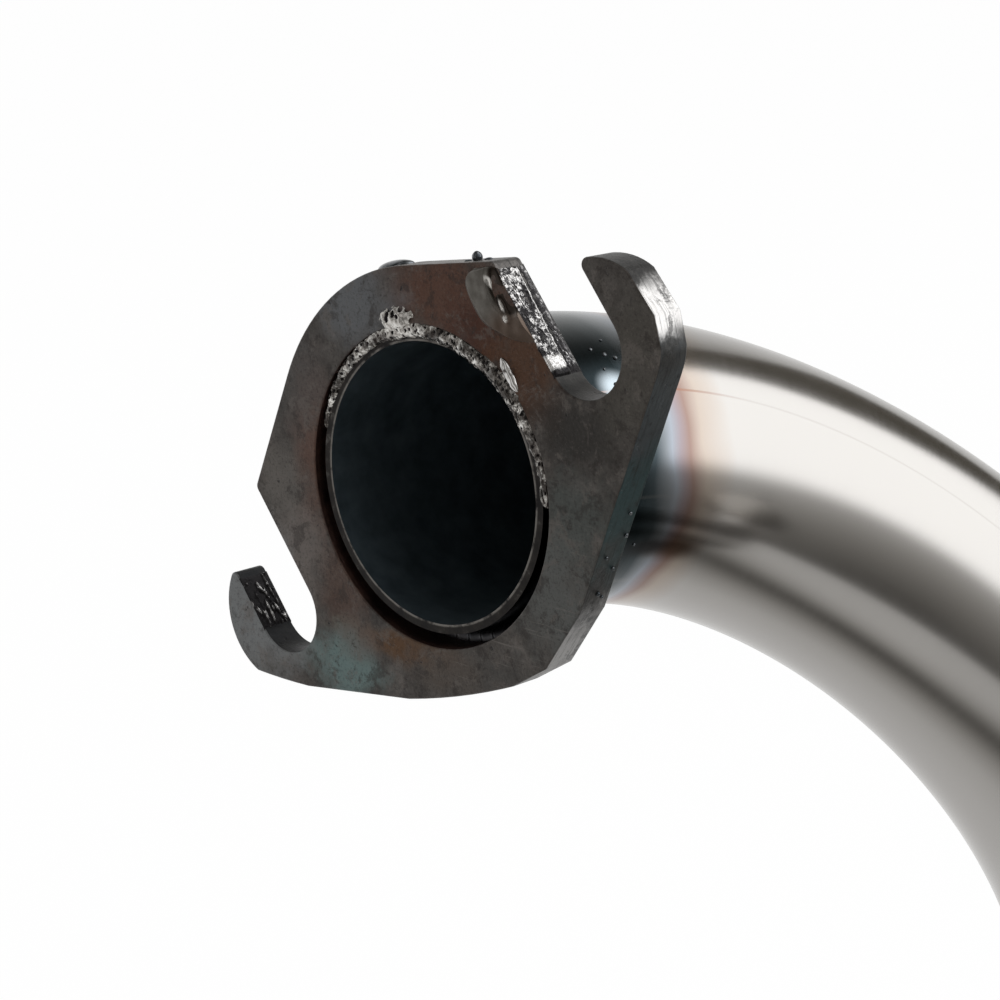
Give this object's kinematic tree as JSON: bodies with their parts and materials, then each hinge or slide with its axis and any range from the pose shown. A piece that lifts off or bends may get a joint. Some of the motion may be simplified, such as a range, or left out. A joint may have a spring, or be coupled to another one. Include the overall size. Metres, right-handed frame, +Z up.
{
  "type": "scooter exhaust",
  "caption": "Welded scooter exhaust: slotted diamond flange, bent stainless header pipe and plain round packed silencer with a hanger.",
  "frame": {"origin": "centre of the flange bore on the mating face", "axes": "-Y out of the mating face towards the engine, +X along the silencer towards the outlet, +Z up"},
  "size_m": [0.5169, 0.0954, 0.1477],
  "materials": {
    "flange_steel": "cut mild steel, oxidised and heat tinted",
    "pipe_stainless": "satin stainless, heat tinted near the welds",
    "sleeve_stainless": "brushed stainless sheet",
    "weld_metal": "rough weld bead",
    "rivet_steel": "bright blind rivets",
    "glass_wool": "glass wool mat"
  },
  "bodies": {
    "root": {"inlet_flange": "flange_steel", "header_pipe": "pipe_stainless", "mouth_weld": "weld_metal", "flange_back_weld": "weld_metal", "front_cap": "pipe_stainless", "collar_weld": "weld_metal", "sleeve": "sleeve_stainless", "front_band": "pipe_stainless", "rear_band": "pipe_stainless", "front_rivets": "rivet_steel", "rear_rivets": "rivet_steel", "rear_cap": "pipe_stainless", "core_tube": "pipe_stainless", "packing": "glass_wool", "tail_tip": "pipe_stainless", "tail_weld": "weld_metal", "hanger_saddle": "sleeve_stainless", "hanger_tab": "sleeve_stainless", "hanger_welds": "weld_metal", "saddle_welds": "weld_metal"}
  },
  "joints": []
}
